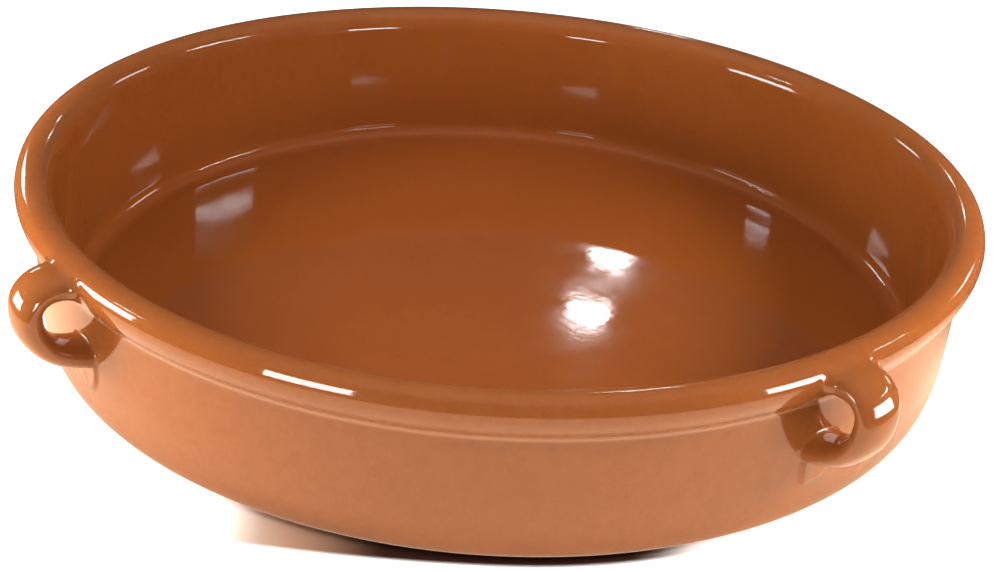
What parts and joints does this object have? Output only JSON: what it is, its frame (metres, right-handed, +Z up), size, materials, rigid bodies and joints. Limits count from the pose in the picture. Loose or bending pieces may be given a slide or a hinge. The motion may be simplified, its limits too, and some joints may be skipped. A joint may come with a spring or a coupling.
{
  "type": "cazuela",
  "caption": "Round shallow glazed terracotta cooking dish with a thick rolled rim and small vertical loop handles set under the rim.",
  "frame": {"origin": "centre of the flat base, on the plane the dish stands on", "axes": "+Z up along the dish's axis of turning; the handles stand on +X, +Y, -X and -Y"},
  "size_m": [0.4166, 0.4166, 0.0681],
  "materials": {
    "bare_clay": "matte",
    "honey_glaze": "gloss",
    "glazed_handle": "gloss"
  },
  "bodies": {
    "root": {"clay_dish": "bare_clay", "glaze_coat": "honey_glaze", "handle_front_left": "glazed_handle", "handle_front_right": "glazed_handle", "handle_rear_left": "glazed_handle", "handle_rear_right": "glazed_handle"}
  },
  "joints": []
}
